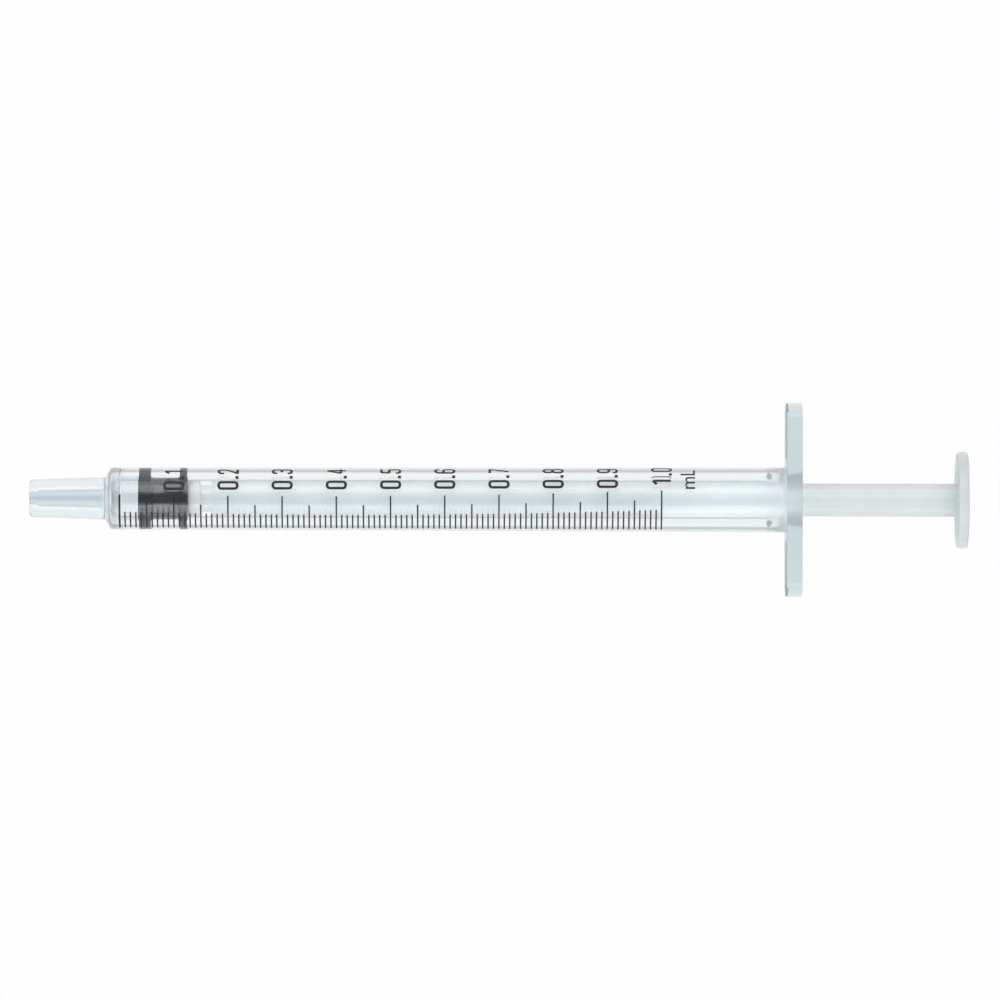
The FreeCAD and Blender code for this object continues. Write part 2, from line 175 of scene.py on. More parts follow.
def turned(name, profile):
    """A solid turned on the syringe's axis: rings drawn out from a front cap to a rear cap.

    A long straight stretch has a ring near each end, so that it shades as straight up to there.
    """
    along, radius = profile[0]
    bpy.ops.mesh.primitive_circle_add(vertices=TURN_STEPS, radius=radius, fill_type="TRIFAN",
                                      location=(TIP_END + along, 0, 0), rotation=(0, math.pi / 2, 0))
    piece = bpy.context.object
    piece.name = name
    edit(piece)
    bpy.ops.mesh.select_all(action="SELECT")
    bpy.ops.mesh.region_to_loop()
    for next_along, next_radius in profile[1:]:
        bpy.ops.mesh.extrude_region_move(TRANSFORM_OT_translate={"value": (next_along - along, 0, 0)})
        stretch = next_radius / radius
        bpy.ops.transform.resize(value=(1, stretch, stretch), orient_type="GLOBAL",
                                 center_override=(TIP_END + next_along, 0, 0))
        along, radius = next_along, next_radius
    bpy.ops.mesh.edge_face_add()
    bpy.ops.mesh.poke()
    bpy.ops.mesh.select_all(action="SELECT")
    bpy.ops.mesh.remove_doubles(threshold=MERGE_GAP)
    bpy.ops.mesh.normals_make_consistent(inside=False)
    settle()
    return piece


def apply_modifier(thing, kind, **settings):
    """Adds a modifier with its settings and applies it."""
    select_only(thing)
    modifier = thing.modifiers.new(kind.lower(), kind)
    for setting, value in settings.items():
        setattr(modifier, setting, value)
    bpy.ops.object.modifier_apply(modifier=modifier.name)


def combine(thing, other, operation):
    """Joins another solid to this one, or cuts it away, and uses it up."""
    apply_modifier(thing, "BOOLEAN", object=other, operation=operation, solver="EXACT")
    bpy.data.objects.remove(other)


def smooth(thing, degrees=32):
    """Shades as round all edges that turn by less than the angle."""
    select_only(thing)
    bpy.ops.object.shade_smooth_by_angle(angle=math.radians(degrees))


def tube_radius(along):
    """Outside radius of the drafted tube."""
    return TUBE_FRONT_RADIUS + TUBE_DRAFT * (along - SHOULDER_REAR)


# Materials.

def new_material(name):
    """A node material with its tree and its Principled shader."""
    material = bpy.data.materials.new(name)
    material.use_nodes = True
    tree = material.node_tree
    return material, tree, tree.nodes["Principled BSDF"]


def math_node(tree, operation, first, second=None):
    """One arithmetic node; each side is a socket or a number. Gives its result."""
    node = tree.nodes.new("ShaderNodeMath")
    node.operation = operation
    for socket, value in zip(node.inputs, (first, second)):
        if isinstance(value, (int, float)):
            socket.default_value = value
        elif value is not None:
            tree.links.new(value, socket)
    return node.outputs[0]


def map_range(tree, value, from_low, from_high, to_low, to_high):
    """Stretches a value from one range to another and clips it there."""
    node = tree.nodes.new("ShaderNodeMapRange")
    tree.links.new(value, node.inputs["Value"])
    node.inputs["From Min"].default_value = from_low
    node.inputs["From Max"].default_value = from_high
    node.inputs["To Min"].default_value = to_low
    node.inputs["To Max"].default_value = to_high
    return node.outputs["Result"]


def rise(tree, value, start, end):
    """A mask that goes from 0 to 1 while the value goes from start to end."""
    return map_range(tree, value, start, end, 0.0, 1.0)


def fall(tree, value, start, end):
    """A mask that goes from 1 to 0 while the value goes from start to end."""
    return map_range(tree, value, start, end, 1.0, 0.0)


def together(tree, *masks):
    """A mask that holds where all the given ones do."""
    share = masks[0]
    for mask in masks[1:]:
        share = math_node(tree, "MULTIPLY", share, mask)
    return share


def mottled(tree, mottle, least, most):
    """A number that follows the mottling, most of which lies between 0.3 and 0.7."""
    return map_range(tree, mottle, 0.3, 0.7, least, most)


def mould_marks():
    """Marks that moulding leaves: soft mottling, and fine streaks along the flow."""
    streak_draw = (0.05, 1, 1)
    streaks_per_patch = 3.0
    group = bpy.data.node_groups.new("mould_marks", "ShaderNodeTree")
    face = group.interface
    face.new_socket("Place", in_out="INPUT", socket_type="NodeSocketVector")
    face.new_socket("Patches per metre", in_out="INPUT", socket_type="NodeSocketFloat")
    face.new_socket("Mottle", in_out="OUTPUT", socket_type="NodeSocketFloat")
    face.new_socket("Streaks", in_out="OUTPUT", socket_type="NodeSocketFloat")
    given = group.nodes.new("NodeGroupInput")
    result = group.nodes.new("NodeGroupOutput")
    mottle = group.nodes.new("ShaderNodeTexNoise")
    mottle.inputs["Detail"].default_value = 3.0
    group.links.new(given.outputs["Place"], mottle.inputs["Vector"])
    group.links.new(given.outputs["Patches per metre"], mottle.inputs["Scale"])
    group.links.new(mottle.outputs["Fac"], result.inputs["Mottle"])
    drawn = group.nodes.new("ShaderNodeVectorMath")
    drawn.operation = "MULTIPLY"
    drawn.inputs[1].default_value = streak_draw
    group.links.new(given.outputs["Place"], drawn.inputs[0])
    fine = math_node(group, "MULTIPLY", given.outputs["Patches per metre"], streaks_per_patch)
    streaks = group.nodes.new("ShaderNodeTexNoise")
    streaks.inputs["Detail"].default_value = 2.0
    group.links.new(drawn.outputs[0], streaks.inputs["Vector"])
    group.links.new(fine, streaks.inputs["Scale"])
    group.links.new(streaks.outputs["Fac"], result.inputs["Streaks"])
    return group


def place_marks(tree, group, patches):
    """The marks on a piece's own place, so many patches to the metre, as a node."""
    place = tree.nodes.new("ShaderNodeTexCoord")
    marks = tree.nodes.new("ShaderNodeGroup")
    marks.node_tree = group
    marks.inputs["Patches per metre"].default_value = patches
    tree.links.new(place.outputs["Object"], marks.inputs["Place"])
    return marks


def two_tones(tree, share, first, second):
    """A colour between two, by a share that changes over the surface."""
    ramp = tree.nodes.new("ShaderNodeMix")
    ramp.data_type = "RGBA"
    ramp.inputs["A"].default_value = (*first, 1)
    ramp.inputs["B"].default_value = (*second, 1)
    tree.links.new(share, ramp.inputs["Factor"])
    return ramp.outputs["Result"]


def relief(tree, shader, height, depth):
    """Raises the surface by a height of 0 to 1 times the depth."""
    bump = tree.nodes.new("ShaderNodeBump")
    bump.inputs["Distance"].default_value = depth
    tree.links.new(height, bump.inputs["Height"])
    tree.links.new(bump.outputs["Normal"], shader.inputs["Normal"])


def dress(node_name, material):
    """Gives a CAD node one material on every slot."""
    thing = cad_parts[node_name]
    if not thing.material_slots:
        thing.data.materials.append(material)
    for place in thing.material_slots:
        place.material = material


def places(tree):
    """How far behind the tip's end, how far to either side, and how far from the axis."""
    place = tree.nodes.new("ShaderNodeTexCoord")
    split = tree.nodes.new("ShaderNodeSeparateXYZ")
    tree.links.new(place.outputs["Object"], split.inputs[0])
    x, y, z = split.outputs
    squares = math_node(tree, "ADD", math_node(tree, "MULTIPLY", y, y), math_node(tree, "MULTIPLY", z, z))
    along = math_node(tree, "SUBTRACT", x, TIP_END)
    return along, math_node(tree, "ABSOLUTE", y), math_node(tree, "SQRT", squares)


def shade_by(tree, colour, *painted_shades):
    """A colour multiplied by the tint of each painted shade in turn, where its mask says so."""
    for mask, tint in painted_shades:
        mix = tree.nodes.new("ShaderNodeMix")
        mix.data_type = "RGBA"
        mix.blend_type = "MULTIPLY"
        tree.links.new(mask, mix.inputs["Factor"])
        tree.links.new(colour, mix.inputs["A"])
        mix.inputs["B"].default_value = (*tint, 1)
        colour = mix.outputs["Result"]
    return colour


def show_mix(tree, share, first, second):
    """Makes a mix of two shaders the material's surface: the second has the share."""
    mix = tree.nodes.new("ShaderNodeMixShader")
    tree.links.new(share, mix.inputs[0])
    tree.links.new(first.outputs[0], mix.inputs[1])
    tree.links.new(second.outputs[0], mix.inputs[2])
    tree.links.new(mix.outputs[0], tree.nodes["Material Output"].inputs["Surface"])


def wing_front_edge(tree, along, aside, edge_on):
    """A mask of the wings' front edge, where it is seen at a slant; it darkens the colour there as painted
    shade.
    """
    return together(tree,
                    fall(tree, along, FLANGE_FRONT + 0.14 * MM, FLANGE_FRONT + 0.2 * MM),
                    rise(tree, aside, 4.0 * MM, 4.4 * MM),
                    rise(tree, edge_on, 0.35, 0.6))


def clear_tint_and_painted_shade(tree, plain, wing_front, along, off_axis, edge_on):
    """The clear plastic's colour, with painted shade along the edge lines of the tube, chamber and wings."""
    tip_root = (SHOULDER_FRONT - 0.3 * MM, SHOULDER_FRONT)
    fluid_bore = together(tree, fall(tree, along, *tip_root), fall(tree, off_axis, 1.1 * MM, 1.2 * MM))
    tube_face = together(tree,
                         rise(tree, along, *tip_root),
                         fall(tree, along, FLANGE_FRONT - MM, FLANGE_FRONT - 0.6 * MM),
                         rise(tree, off_axis, 2.7 * MM, 2.8 * MM))
    tube_edge = together(tree, rise(tree, edge_on, 0.42, 0.5), fall(tree, edge_on, 0.6, 0.72))
    chamber_face = together(tree,
                            rise(tree, along, 9.5 * MM, 9.7 * MM),
                            fall(tree, off_axis, 2.5 * MM, 2.6 * MM))
    chamber_edge = together(tree, rise(tree, edge_on, 0.36, 0.4), fall(tree, edge_on, 0.46, 0.5))
    ahead_of_gasket = fall(tree, along, GASKET_FRONT, GASKET_FRONT + 0.2 * MM)
    # Painted shade: bluer fluid bore, dark slanting edge lines, grey wall ahead of the gasket at rest.
    return shade_by(tree, plain,
                    (fluid_bore, (0.66, 0.74, 0.79)),
                    (together(tree, tube_face, tube_edge), (0.4, 0.44, 0.45)),
                    (together(tree, chamber_face, chamber_edge), (0.5, 0.54, 0.56)),
                    (together(tree, chamber_face, ahead_of_gasket), (0.78, 0.81, 0.85)),
                    (wing_front, (0.16, 0.2, 0.22)))


def clear_roughness(tree, mottle, wing_front, along, aside, off_axis):
    """Polished plastic, hazy at the shoulder, the mouth and the wings, frosted inside the mouth."""
    haze_roughness = 0.26
    frost_roughness = 0.34
    polish = mottled(tree, mottle, 0.035, 0.06)
    mouth_haze = together(tree,
                          rise(tree, along, FLANGE_FRONT - 2.2 * MM, FLANGE_FRONT - 0.6 * MM),
                          fall(tree, aside, 4.0 * MM, 7.0 * MM))
    from_shoulder = math_node(tree, "ABSOLUTE", math_node(tree, "SUBTRACT", along, SHOULDER_REAR))
    shoulder_haze = fall(tree, from_shoulder, 0.6 * MM, 1.6 * MM)
    tube_haze = math_node(tree, "MAXIMUM", mouth_haze, shoulder_haze)
    haze = math_node(tree, "MAXIMUM", tube_haze, wing_front)
    frost = together(tree,
                     fall(tree, off_axis, 3.1 * MM, 3.3 * MM),
                     rise(tree, along, FLANGE_FRONT - 1.0 * MM, FLANGE_FRONT - 0.3 * MM))
    frosted = math_node(tree, "ADD", polish, math_node(tree, "MULTIPLY", frost, frost_roughness))
    return math_node(tree, "ADD", frosted, math_node(tree, "MULTIPLY", haze, haze_roughness))


def clear_plastic(marks):
    """Clear plastic with a blue cast where it is thick, which lets most light on to the floor."""
    material, tree, shader = new_material("clear_barrel_plastic")
    moulded = place_marks(tree, marks, 500)
    mottle = moulded.outputs["Mottle"]
    plain = two_tones(tree, mottle, (0.97, 0.98, 0.98), (0.985, 0.99, 0.99))
    along, aside, off_axis = places(tree)
    weight = tree.nodes.new("ShaderNodeLayerWeight")
    weight.inputs["Blend"].default_value = 0.5
    edge_on = weight.outputs["Facing"]
    wing_front = wing_front_edge(tree, along, aside, edge_on)
    # The colour carries painted shade along edge lines, in the fluid bore and ahead of the gasket.
    cast = clear_tint_and_painted_shade(tree, plain, wing_front, along, off_axis, edge_on)
    tree.links.new(cast, shader.inputs["Base Color"])
    roughness = clear_roughness(tree, mottle, wing_front, along, aside, off_axis)
    tree.links.new(roughness, shader.inputs["Roughness"])
    relief(tree, shader, moulded.outputs["Streaks"], 0.00004 * MM)
    shader.inputs["Transmission Weight"].default_value = 1.0
    shader.inputs["IOR"].default_value = PLASTIC_IOR
    depth = tree.nodes.new("ShaderNodeVolumeAbsorption")
    depth.inputs["Color"].default_value = (0.58, 0.7, 0.76, 1)
    depth.inputs["Density"].default_value = 100.0
    tree.links.new(depth.outputs[0], tree.nodes["Material Output"].inputs["Volume"])
    path = tree.nodes.new("ShaderNodeLightPath")
    shade = tree.nodes.new("ShaderNodeBsdfTransparent")
    tree.links.new(map_range(tree, edge_on, 0.35, 0.95, 1.0, 0.3), shade.inputs["Color"])
    show_mix(tree, path.outputs["Is Shadow Ray"], shader, shade)
    return material


def milky_plastic(marks):
    """Milky plastic that light enters, with greyer painted shade on the rod's edges, the disc and its front
    face.
    """
    material, tree, shader = new_material("milky_plunger_plastic")
    moulded = place_marks(tree, marks, 700)
    mottle = moulded.outputs["Mottle"]
    plain = two_tones(tree, mottle, (0.79, 0.85, 0.86), (0.83, 0.89, 0.9))
    along, aside, off_axis = places(tree)
    geometry = tree.nodes.new("ShaderNodeNewGeometry")
    normal = tree.nodes.new("ShaderNodeSeparateXYZ")
    tree.links.new(geometry.outputs["Normal"], normal.inputs[0])
    disc_front = (DISC_END - 1.3 * MM, DISC_END - 1.2 * MM)
    on_disc = rise(tree, along, *disc_front)
    front_face = together(tree, on_disc, fall(tree, normal.outputs[0], -0.9, -0.4))
    rod_edge = together(tree,
                        fall(tree, along, *disc_front),
                        rise(tree, aside, 1.69 * MM, 1.73 * MM),
                        fall(tree, off_axis, 2.1 * MM, 2.15 * MM))
    # Painted shade: grey along the rod's edges, over the disc, and more on the disc's front face.
    cast = shade_by(tree, plain,
                    (rod_edge, (0.82, 0.85, 0.86)),
                    (on_disc, (0.95, 0.96, 0.97)),
                    (front_face, (0.79, 0.8, 0.81)))
    tree.links.new(cast, shader.inputs["Base Color"])
    tree.links.new(mottled(tree, mottle, 0.32, 0.48), shader.inputs["Roughness"])
    relief(tree, shader, moulded.outputs["Streaks"], 0.003 * MM)
    shader.inputs["IOR"].default_value = PLASTIC_IOR
    shader.inputs["Subsurface Weight"].default_value = 1.0
    shader.inputs["Subsurface Radius"].default_value = (1.0, 1.0, 1.0)
    shader.inputs["Subsurface Scale"].default_value = 3.0 * MM
    return material


def dark_rubber(marks):
    """Dark oiled rubber, a little blue."""
    material, tree, shader = new_material("gasket_rubber")
    mottle = place_marks(tree, marks, 1500).outputs["Mottle"]
    cast = two_tones(tree, mottle, (0.008, 0.013, 0.015), (0.016, 0.025, 0.028))
    tree.links.new(cast, shader.inputs["Base Color"])
    tree.links.new(mottled(tree, mottle, 0.16, 0.24), shader.inputs["Roughness"])
    shader.inputs["Specular IOR Level"].default_value = 1.0
    relief(tree, shader, mottle, 0.004 * MM)
    return material


def black_ink(marks):
    """Black print that is dull and not quite even."""
    material, tree, shader = new_material("scale_ink")
    mottle = place_marks(tree, marks, 6000).outputs["Mottle"]
    cast = two_tones(tree, mottle, (0.006, 0.006, 0.007), (0.022, 0.022, 0.024))
    tree.links.new(cast, shader.inputs["Base Color"])
    tree.links.new(mottled(tree, mottle, 0.45, 0.65), shader.inputs["Roughness"])
    relief(tree, shader, mottle, 0.004 * MM)
    return material


def white_floor():
    """A dull white that holds the shadow, and glows where it is looked at, mirrored or seen through."""
    material, tree, shader = new_material("white_floor")
    tree.nodes.remove(shader)
    dull = tree.nodes.new("ShaderNodeBsdfDiffuse")
    dull.inputs["Color"].default_value = (0.9, 0.9, 0.9, 1)
    glow = tree.nodes.new("ShaderNodeEmission")
    path = tree.nodes.new("ShaderNodeLightPath")
    seen = math_node(tree, "MAXIMUM", path.outputs["Is Camera Ray"], path.outputs["Is Glossy Ray"])
    seen_share = math_node(tree, "MULTIPLY", seen, FLOOR_SEEN)
    through_share = math_node(tree, "MULTIPLY", path.outputs["Is Transmission Ray"], FLOOR_SEEN_THROUGH)
    show_mix(tree, math_node(tree, "MAXIMUM", seen_share, through_share), dull, glow)
    return material


# Barrel: one clear moulding.

def tip_radius(along):
    """Outside radius of the tip's cone."""
    return TIP_RADIUS + TIP_CONE * along


def tube_outside():
    """The barrel's outer form from the tip to just inside the flange, as a solid rod."""
    neck = 0.12 * MM
    corner = 0.2 * MM
    fillet = 0.5 * MM
    fillet_sink = 0.01 * MM
    end_in_plate = 0.8 * MM
    root_radius = tip_radius(SHOULDER_FRONT)
    slope = (SHOULDER_REAR - SHOULDER_FRONT) / (TUBE_FRONT_RADIUS - root_radius)
    nose_ring = TIP_NOSE + END_RING
    neck_ring = SHOULDER_FRONT - neck - END_RING
    bend_start = (SHOULDER_REAR - slope * corner, TUBE_FRONT_RADIUS - corner)
    bend_end = (SHOULDER_REAR + corner, tube_radius(SHOULDER_REAR + corner))
    bend_ring = bend_end[0] + END_RING
    root_start = (FLANGE_FRONT - fillet, tube_radius(FLANGE_FRONT - fillet))
    root_end = (FLANGE_FRONT + fillet_sink, TUBE_REAR_RADIUS + fillet)
    root_ring = root_start[0] - END_RING
    return turned("barrel_moulding", [
        *rounded((0, TIP_RADIUS - TIP_NOSE), (0, TIP_RADIUS), (TIP_NOSE, tip_radius(TIP_NOSE))),
        (nose_ring, tip_radius(nose_ring)),
        (neck_ring, tip_radius(neck_ring)),
        *rounded((SHOULDER_FRONT - neck, tip_radius(SHOULDER_FRONT - neck)),
                 (SHOULDER_FRONT, root_radius),
                 (SHOULDER_FRONT + slope * neck, root_radius + neck), 3),
        *rounded(bend_start, (SHOULDER_REAR, TUBE_FRONT_RADIUS), bend_end),
        (bend_ring, tube_radius(bend_ring)),
        (root_ring, tube_radius(root_ring)),
        *rounded(root_start, (FLANGE_FRONT, TUBE_REAR_RADIUS), root_end),
        (FLANGE_FRONT + end_in_plate, TUBE_REAR_RADIUS + fillet),
    ])


def bore_inside():
    """The hollow of the barrel as a solid: stepped fluid bore, well, chamber, ridge and mouth."""
    past_end = 0.5 * MM
    orifice = 0.69 * MM
    orifice_end = 0.94 * MM
    fluid_bore_front = 0.88 * MM
    fluid_bore_ring = 1.006 * MM
    fluid_bore_rear = 1.01 * MM
    fluid_bore_end = 7.72 * MM
    well = 1.2 * MM
    well_start = 8.1 * MM
    well_end = 8.84 * MM
    well_mouth = 1.5 * MM
    floor = 9.45 * MM
    floor_corner = 0.2 * MM
    ridge = 77.7 * MM
    flank = 0.35 * MM
    crest = 0.4 * MM
    crest_radius = CHAMBER_RADIUS - 0.1 * MM
    flare_start = 79.1 * MM
    mouth = 2.85 * MM
    mouth_edge = 0.25 * MM
    mouth_flare = 0.05 * MM
    return turned("bore", [
        (-past_end, orifice),
        (orifice_end, orifice),
        (orifice_end, fluid_bore_front),
        (fluid_bore_end - END_RING, fluid_bore_ring),
        (fluid_bore_end, fluid_bore_rear),
        (well_start, well),
        (well_end, well),
        (floor, well_mouth),
        *rounded((floor, CHAMBER_RADIUS - floor_corner),
                 (floor, CHAMBER_RADIUS),
                 (floor + floor_corner, CHAMBER_RADIUS), 4),
        (floor + floor_corner + END_RING, CHAMBER_RADIUS),
        (ridge - END_RING, CHAMBER_RADIUS),
        *rounded((ridge, CHAMBER_RADIUS),
                 (ridge + flank, crest_radius),
                 (ridge + flank + crest, crest_radius), 4),
        (ridge + 2 * flank + crest, CHAMBER_RADIUS),
        (flare_start, CHAMBER_RADIUS),
        *rounded((FLANGE_REAR - mouth_edge, mouth - mouth_flare),
                 (FLANGE_REAR, mouth),
                 (FLANGE_REAR, mouth + mouth_edge), 4),
        (FLANGE_REAR + past_end, mouth + mouth_edge + past_end),
    ])


def flange_plate():
    """The finger flange: a round plate with two flats, its corners and both edges rounded."""
    corner = 1.4 * MM
    front_edge = 0.16 * MM
    rear_edge = 0.12 * MM
    near = 0.1 * MM
    flush = 0.001 * MM
    thickness = FLANGE_REAR - FLANGE_FRONT
    bpy.ops.mesh.primitive_circle_add(vertices=TURN_STEPS, radius=FLANGE_HALF_SPAN, fill_type="NGON",
                                      location=(TIP_END + FLANGE_FRONT, 0, 0),
                                      rotation=(0, math.pi / 2, 0))
    plate = bpy.context.object
    edit(plate)
    for side in (1, -1):
        bpy.ops.mesh.select_all(action="SELECT")
        bpy.ops.mesh.bisect(plane_co=(0, 0, side * FLANGE_HALF_DEPTH), plane_no=(0, 0, side),
                            clear_outer=True)
    bpy.ops.mesh.select_all(action="SELECT")
    bpy.ops.mesh.extrude_region_move(TRANSFORM_OT_translate={"value": (thickness, 0, 0)})
    bpy.ops.mesh.select_all(action="SELECT")
    bpy.ops.mesh.normals_make_consistent(inside=False)
    settle()
    flat_end = math.sqrt(FLANGE_HALF_SPAN ** 2 - FLANGE_HALF_DEPTH ** 2)
    bevel_edges(plate, corner, 8, lambda middle, length: (
        abs(length[0]) > MM
        and abs(abs(middle[1]) - flat_end) < near
        and abs(abs(middle[2]) - FLANGE_HALF_DEPTH) < near))
    for width, along in ((front_edge, FLANGE_FRONT), (rear_edge, FLANGE_REAR)):
        bevel_edges(plate, width, 3, lambda middle, length: abs(middle[0] - TIP_END - along) < flush)
    return plate


def bevel_edges(thing, width, segments, chosen):
    """Rounds the edges whose middle and length pass the test."""
    edit(thing, "EDGE")
    bpy.ops.mesh.select_all(action="DESELECT")
    bpy.ops.object.mode_set(mode="OBJECT")
    mesh = thing.data
    for edge in mesh.edges:
        a, b = (mesh.vertices[index].co for index in edge.vertices)
        edge.select = chosen((a + b) / 2, b - a)
    bpy.ops.object.mode_set(mode="EDIT")
    bpy.ops.mesh.bevel(offset=width, segments=segments, affect="EDGES", clamp_overlap=True)
    bpy.ops.object.mode_set(mode="OBJECT")


def make_barrel(material):
    """The turned tube and its flange as one solid, then the hollow cut out."""
    barrel = tube_outside()
    combine(barrel, flange_plate(), "UNION")
    combine(barrel, bore_inside(), "DIFFERENCE")
    smooth(barrel)
    barrel.data.materials.append(material)
    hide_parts("barrel")
    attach(barrel, "barrel")


# Gasket: two ribs on the bore, a waist, and the undercut that holds the plunger's head.

def make_gasket(material):
    """The turned rubber, with the cavity that holds the plunger's head."""
    rear = GASKET_FRONT + GASKET_LENGTH
    edge = 0.1 * MM
    flank = 0.14 * MM
    waist = CHAMBER_RADIUS - 0.15 * MM
    front_rib_end = GASKET_FRONT + 1.43 * MM
    rear_rib_start = rear - 0.95 * MM
    neck_hole = 1.06 * MM
    cavity = 1.56 * MM
    cavity_rear = 14.9 * MM
    cavity_front = 13.4 * MM
    cavity_end = 12.8 * MM
    cavity_end_radius = 0.9 * MM
    gasket = turned("gasket_moulding", [
        *rounded((GASKET_FRONT, RIB_RADIUS - edge),
                 (GASKET_FRONT, RIB_RADIUS),
                 (GASKET_FRONT + edge, RIB_RADIUS), 4),
        *rounded((front_rib_end - flank, RIB_RADIUS),
                 (front_rib_end, RIB_RADIUS),
                 (front_rib_end + flank, waist), 4),
        *rounded((rear_rib_start - flank, waist),
                 (rear_rib_start, RIB_RADIUS),
                 (rear_rib_start + flank, RIB_RADIUS), 4),
        *rounded((rear - edge, RIB_RADIUS), (rear, RIB_RADIUS), (rear, RIB_RADIUS - edge), 4),
        (rear, neck_hole),
        (cavity_rear, neck_hole),
        (cavity_rear, cavity),
        (cavity_front, cavity),
        (cavity_end, cavity_end_radius),
    ])
    smooth(gasket, 40)
    gasket.data.materials.append(material)
    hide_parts("gasket")
    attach(gasket, "gasket")


# Print: lines, numerals and unit mark, wrapped round the tube with their tops towards the tip.

def bent_path(corners, bend, closed):
    """Points of a pen stroke through the corners, each inner corner rounded off."""
    points = []
    for index, corner in enumerate(corners):
        if not closed and index in (0, len(corners) - 1):
            points.append(corner)
            continue
        ends = []
        for other in (corners[index - 1], corners[(index + 1) % len(corners)]):
            length = math.dist(other, corner)
            share = min(bend, length / 2) / length
            ends.append(tuple(c + (o - c) * share for c, o in zip(corner, other)))
        points.extend(rounded(ends[0], corner, ends[1], 5))
    return points


def figure_strokes(figure):
    """Pen strokes of one figure in a cell of one by one: corners, and whether the stroke closes."""
    return {
        "0": [([(0, 0), (1, 0), (1, 1), (0, 1)], True)],
        "1": [([(0.05, 0.76), (0.62, 1), (0.62, 0)], False)],
        "2": [([(0, 0.72), (0, 1), (1, 1), (1, 0.56), (0, 0.02)], False),
              ([(-0.1, 0), (1.1, 0)], False)],
        "3": [([(0, 0.78), (0, 1), (1, 1), (1, 0.53), (0.3, 0.53)], False),
              ([(0.3, 0.53), (1, 0.53), (1, 0), (0, 0), (0, 0.22)], False)],
        "4": [([(0.7, 0), (0.7, 1)], False),
              ([(0.62, 1), (0, 0.3)], False),
              ([(-0.06, 0.27), (1.1, 0.27)], False)],
        "5": [([(1.05, 1), (0.08, 1)], False),
              ([(0.08, 1), (0.04, 0.56)], False),
              ([(0.04, 0.56), (1, 0.62), (1, 0), (0, 0), (0, 0.22)], False)],
        "6": [([(1, 0.8), (1, 1), (0, 1), (0, 0), (1, 0), (1, 0.58), (0.1, 0.58)], False)],
        "7": [([(-0.05, 1), (1.05, 1)], False), ([(1, 0.97), (0.3, 0)], False)],
        "8": [([(0.04, 0.53), (0.96, 0.53), (0.96, 1), (0.04, 1)], True),
              ([(0, 0), (1, 0), (1, 0.53), (0, 0.53)], True)],
        "9": [([(0, 0.2), (0, 0), (1, 0), (1, 1), (0, 1), (0, 0.42), (0.9, 0.42)], False)],
        ".": [([(0, -0.06), (0, 0.11)], False), ([(1, -0.06), (1, 0.11)], False)],
    }[figure]


def draw_figures(name, figures):
    """Figures drawn flat with a round pen, reading along X with their feet at Y zero."""
    height = FIGURE_HEIGHT - PEN_WIDTH
    data = bpy.data.curves.new(name, "CURVE")
    data.dimensions = "3D"
    data.bevel_depth = PEN_WIDTH / 2
    data.bevel_resolution = 2
    data.use_fill_caps = True
    left = PEN_WIDTH / 2
    for figure in figures:
        width = POINT_WIDTH if figure == "." else FIGURE_WIDTH - PEN_WIDTH
        for corners, closed in figure_strokes(figure):
            placed = [(left + x * width, PEN_WIDTH / 2 + y * height) for x, y in corners]
            points = bent_path(placed, PEN_BEND, closed)
            stroke = data.splines.new("POLY")
            stroke.points.add(len(points) - 1)
            for point, (x, y) in zip(stroke.points, points):
                point.co = (x, y, 0, 1)
            stroke.use_cyclic_u = closed
        left += width + PEN_WIDTH + FIGURE_GAP
    piece = bpy.data.objects.new(name, data)
    bpy.context.scene.collection.objects.link(piece)
    select_only(piece)
    bpy.ops.object.convert(target="MESH")
    piece = bpy.context.object
    thickness = INK_THICKNESS + INK_SINK
    piece.scale = (1, 1, thickness / PEN_WIDTH)
    piece.location = (0, 0, thickness / 2)
    apply_place()
    return piece


def draw_words(name, words, height):
    """Words in a plain face, reading along X, as thick as the ink."""
    font_capital = 0.73
    data = bpy.data.curves.new(name, "FONT")
    data.body = words
    data.size = height / font_capital
    data.fill_mode = "FRONT"
    piece = bpy.data.objects.new(name, data)
    bpy.context.scene.collection.objects.link(piece)
    select_only(piece)
    bpy.ops.object.convert(target="MESH")
    piece = bpy.context.object
    edit(piece)
    bpy.ops.mesh.select_all(action="SELECT")
    bpy.ops.mesh.remove_doubles(threshold=10 * MERGE_GAP)
    bpy.ops.object.mode_set(mode="OBJECT")
    apply_modifier(piece, "SOLIDIFY", thickness=INK_THICKNESS + INK_SINK, offset=1)
    return piece


def wrap_print(piece, foot, start_degrees, material):
    """Lays flat print round the tube, its feet towards the flange, from an angle off the top."""
    strips = 0.16 * MM
    left = min(vertex.co.x for vertex in piece.data.vertices)
    span = max(vertex.co.x for vertex in piece.data.vertices) - left
    piece.location = (-left, 0, 0)
    apply_place()
    piece.rotation_euler = (math.pi / 2, -math.pi / 2, 0)
    apply_place()
    edit(piece)
    for step in range(1, int(span / strips) + 1):
        bpy.ops.mesh.select_all(action="SELECT")
        bpy.ops.mesh.bisect(plane_co=(0, 0, step * strips), plane_no=(0, 0, 1))
    bpy.ops.object.mode_set(mode="OBJECT")
    radius = tube_radius(foot) - INK_SINK
    apply_modifier(piece, "SIMPLE_DEFORM", deform_method="BEND", deform_axis="X", angle=span / radius)
    piece.location = (0, -radius, 0)
    apply_place()
    piece.rotation_euler = (-math.radians(start_degrees) - math.pi / 2, 0, 0)
    piece.location = (TIP_END + foot, 0, 0)
    apply_place()
    piece.data.materials.append(material)
    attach(piece, "barrel")


